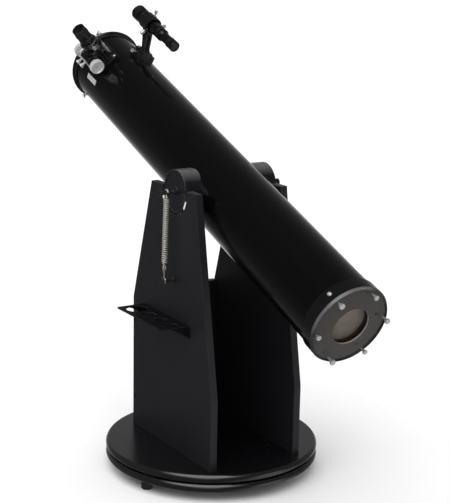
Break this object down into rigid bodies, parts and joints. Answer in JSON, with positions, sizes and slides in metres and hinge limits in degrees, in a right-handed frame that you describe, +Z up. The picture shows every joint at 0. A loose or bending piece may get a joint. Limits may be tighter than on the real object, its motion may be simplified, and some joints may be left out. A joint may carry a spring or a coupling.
{
  "type": "dobsonian telescope",
  "caption": "Reflector telescope with a gloss black tube, focuser and finder, tilting on drum bearings in a round-based rocker box that turns on a ground board.",
  "frame": {"origin": "on the floor, on the azimuth axis, under the centre of the round base", "axes": "+Z up along the azimuth axis, +X along the altitude axis, +Y horizontally towards the open sky end of the tube"},
  "size_m": [0.5259, 1.208, 1.1002],
  "materials": {
    "board_black": "satin black laminate over particle board",
    "edge_band": "gloss black half-round edging",
    "foot_plastic": "matte black moulded plastic",
    "white_plastic": "low-friction white plastic",
    "zinc_steel": "zinc-plated steel",
    "black_steel": "black oxide steel",
    "black_plastic": "semi-gloss black plastic",
    "nickel_wire": "nickel-plated spring wire",
    "rack_paint": "textured black powder coat",
    "tube_gloss": "gloss black paint, matte black inside",
    "ring_gloss": "gloss black paint",
    "cell_paint": "black painted casting, bright turned rim",
    "cell_alloy": "dark cast aluminium",
    "primary_glass": "aluminised front, ground brown-grey back",
    "chrome": "polished chrome",
    "bearing_plastic": "satin black moulded plastic",
    "secondary_glass": "aluminised flat",
    "focuser_black": "semi-gloss black cast metal",
    "cover_grey": "grey anodised plate",
    "drawtube_chrome": "chromed tube",
    "knob_silver": "silver knurled knob",
    "eyepiece_black": "black anodised",
    "eyecup_rubber": "soft black rubber",
    "coated_glass": "coated optical glass",
    "shoe_black": "black cast metal",
    "finder_black": "semi-gloss black metal"
  },
  "bodies": {
    "ground_base": {"ground_board": "board_black", "ground_edge_band": "edge_band", "feet": "foot_plastic", "azimuth_pads": "white_plastic", "base_fasteners": "zinc_steel"},
    "rocker_box": {"turntable_board": "board_black", "turntable_edge_band": "edge_band", "azimuth_bushing": "white_plastic", "left_side_panel": "board_black", "right_side_panel": "board_black", "front_board": "board_black", "box_screws": "black_steel", "altitude_sliders": "white_plastic", "lower_spring_posts": "black_plastic", "tension_springs": "nickel_wire", "eyepiece_rack": "rack_paint"},
    "tube": {"tube_shell": "tube_gloss", "front_ring": "ring_gloss", "rear_cell": "cell_paint", "mirror_cell": "cell_alloy", "primary_mirror": "primary_glass", "mirror_clips": "foot_plastic", "collimation_springs": "nickel_wire", "tube_screws": "chrome", "altitude_bearings": "bearing_plastic", "upper_spring_posts": "black_plastic", "spider": "black_steel", "spider_nuts": "chrome", "secondary_mirror": "secondary_glass", "secondary_holder": "black_plastic", "secondary_screws": "zinc_steel", "focuser_housing": "focuser_black", "focuser_covers": "cover_grey", "finder_shoe": "shoe_black"},
    "drawtube": {"drawtube": "drawtube_chrome", "eyepiece_collar": "focuser_black"},
    "focus_pinion": {"pinion_shaft": "zinc_steel", "focus_knobs": "knob_silver"},
    "eyepiece": {"eyepiece_barrel": "chrome", "eyepiece_body": "eyepiece_black", "eyecup": "eyecup_rubber", "eyepiece_lenses": "coated_glass"},
    "eyepiece_clamp_1": {"eyepiece_clamp_screw_1": "chrome"},
    "eyepiece_clamp_2": {"eyepiece_clamp_screw_2": "chrome"},
    "focus_drag": {"focus_drag_screw": "chrome"},
    "focus_lock": {"focus_lock_screw": "chrome"},
    "finder_holder": {"finder_bracket": "shoe_black", "finder_o_ring": "eyecup_rubber", "finder_tension_barrel": "chrome"},
    "finder_clamp": {"finder_clamp_screw": "chrome"},
    "finder": {"finder_tube": "finder_black", "finder_objective": "coated_glass"},
    "finder_ocular": {"finder_eyepiece": "finder_black", "finder_eye_lens": "coated_glass"},
    "finder_aim_1": {"finder_aim_screw_1": "chrome"},
    "finder_aim_2": {"finder_aim_screw_2": "chrome"},
    "finder_tension": {"finder_tension_pin": "chrome"},
    "collimator_1": {"collimation_knob_1": "chrome"},
    "collimator_2": {"collimation_knob_2": "chrome"},
    "collimator_3": {"collimation_knob_3": "chrome"}
  },
  "joints": [
    {"name": "azimuth_turn", "type": "hinge", "parent": "ground_base", "child": "rocker_box", "pos_m": [0, 0, 0.0455], "axis": [0, 0, 1], "continuous": true},
    {"name": "altitude_tilt", "type": "hinge", "parent": "rocker_box", "child": "tube", "pos_m": [0, -0.023, 0.7], "axis": [1, 0, 0], "range_deg": [-21.5, 68.5]},
    {"name": "focus_travel", "type": "slide", "parent": "tube", "child": "drawtube", "axis": [-0.7009, -0.2614, 0.6636], "range_m": [-0.006, 0.026]},
    {"name": "focus_turn", "type": "hinge", "parent": "tube", "child": "focus_pinion", "pos_m": [-0.10265, 0.47055, 0.96682], "axis": [0, 0.9304, 0.3665], "range_deg": [-252, 62]},
    {"name": "eyepiece_lift", "type": "slide", "parent": "drawtube", "child": "eyepiece", "axis": [-0.7009, -0.2614, 0.6636], "range_m": [0, 0.06]},
    {"name": "eyepiece_clamp_1_turn", "type": "hinge", "parent": "drawtube", "child": "eyepiece_clamp_1", "pos_m": [-0.09363, 0.44777, 1.02465], "axis": [0.7133, -0.2569, 0.6521], "range_deg": [-180, 180]},
    {"name": "eyepiece_clamp_2_turn", "type": "hinge", "parent": "drawtube", "child": "eyepiece_clamp_2", "pos_m": [-0.11074, 0.43161, 1.0002], "axis": [0, -0.9304, -0.3665], "range_deg": [-180, 180]},
    {"name": "focus_drag_turn", "type": "hinge", "parent": "tube", "child": "focus_drag", "pos_m": [-0.11827, 0.46332, 0.95652], "axis": [-0.7133, 0.2569, -0.6521], "range_deg": [-180, 180]},
    {"name": "focus_lock_turn", "type": "hinge", "parent": "tube", "child": "focus_lock", "pos_m": [-0.11827, 0.48286, 0.96422], "axis": [-0.7133, 0.2569, -0.6521], "range_deg": [-180, 180]},
    {"name": "finder_slide", "type": "slide", "parent": "tube", "child": "finder_holder", "axis": [0, -0.9304, -0.3665], "range_m": [0, 0.08]},
    {"name": "finder_clamp_turn", "type": "hinge", "parent": "tube", "child": "finder_clamp", "pos_m": [0.00562, 0.41855, 0.9856], "axis": [-0.9563, -0.1072, 0.272], "range_deg": [-180, 180]},
    {"name": "finder_tilt", "type": "hinge", "parent": "finder_holder", "child": "finder", "pos_m": [0.05146, 0.43542, 1.06147], "axis": [0.6225, 0.2868, -0.7282], "range_deg": [-1, 1]},
    {"name": "finder_ocular_turn", "type": "hinge", "parent": "finder", "child": "finder_ocular", "pos_m": [0.05146, 0.30609, 1.01053], "axis": [0, 0.9304, 0.3665], "range_deg": [-180, 180]},
    {"name": "finder_aim_1_push", "type": "slide", "parent": "finder_holder", "child": "finder_aim_1", "axis": [0.1132, -0.3641, 0.9244], "range_m": [-0.0006, 0.0006]},
    {"name": "finder_aim_2_push", "type": "slide", "parent": "finder_holder", "child": "finder_aim_2", "axis": [0.9936, 0.0415, -0.1053], "range_m": [-0.0006, 0.0006]},
    {"name": "finder_tension_push", "type": "slide", "parent": "finder_holder", "child": "finder_tension", "axis": [-0.7826, 0.2282, -0.5792], "range_m": [-0.0008, 0.0008]},
    {"name": "collimator_1_turn", "type": "hinge", "parent": "tube", "child": "collimator_1", "pos_m": [-0.05055, -0.57439, 0.5549], "axis": [0, -0.9304, -0.3665], "range_deg": [-180, 180]},
    {"name": "collimator_2_turn", "type": "hinge", "parent": "tube", "child": "collimator_2", "pos_m": [0.08337, -0.55728, 0.50055], "axis": [0, -0.9304, -0.3665], "range_deg": [-180, 180]},
    {"name": "collimator_3_turn", "type": "hinge", "parent": "tube", "child": "collimator_3", "pos_m": [-0.03282, -0.52612, 0.41871], "axis": [0, -0.9304, -0.3665], "range_deg": [-180, 180]}
  ],
  "couplings": [
    {"joint": "focus_turn", "follows": "focus_travel", "rad_per_m": -166.67},
    {"joint": "finder_aim_1_push", "follows": "finder_tilt", "m_per_rad": -0.017678},
    {"joint": "finder_aim_2_push", "follows": "finder_tilt", "m_per_rad": -0.017678},
    {"joint": "finder_tension_push", "follows": "finder_tilt", "m_per_rad": 0.025}
  ]
}
